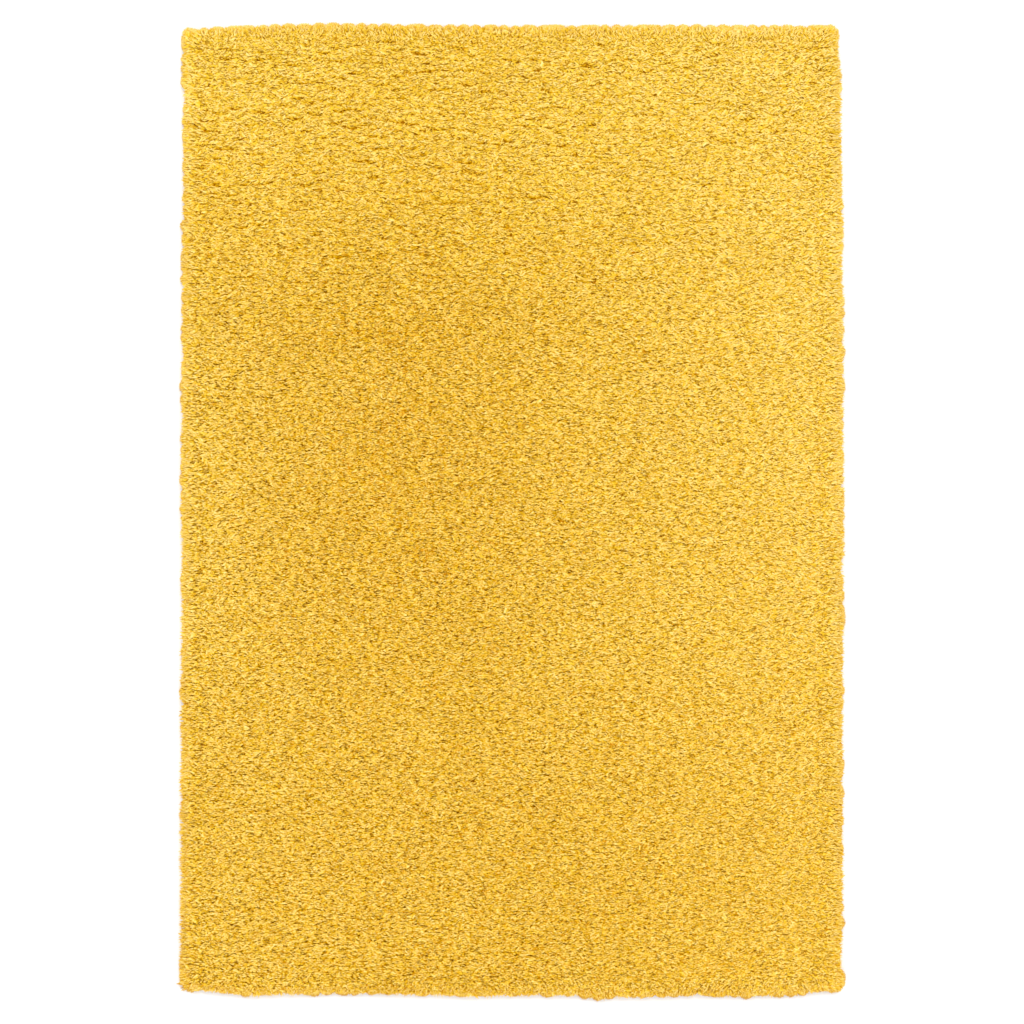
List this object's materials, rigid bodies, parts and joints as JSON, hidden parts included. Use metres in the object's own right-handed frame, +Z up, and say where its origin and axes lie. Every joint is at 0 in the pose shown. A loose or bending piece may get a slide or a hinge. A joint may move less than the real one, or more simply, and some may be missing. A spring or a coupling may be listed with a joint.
{
  "type": "shag rug",
  "caption": "Rectangular shag rug with a thick, softly lumpy pile and an uneven rim of clumped tufts, lying flat.",
  "frame": {"origin": "on the floor under the middle of the rug", "axes": "+Z up out of the pile, +Y along the rug's length, +X across its width"},
  "size_m": [1.337, 1.9652, 0.0381],
  "materials": {
    "pile": "deep matt shag pile of twisted yarn"
  },
  "bodies": {
    "root": {"rug": "pile"}
  },
  "joints": []
}
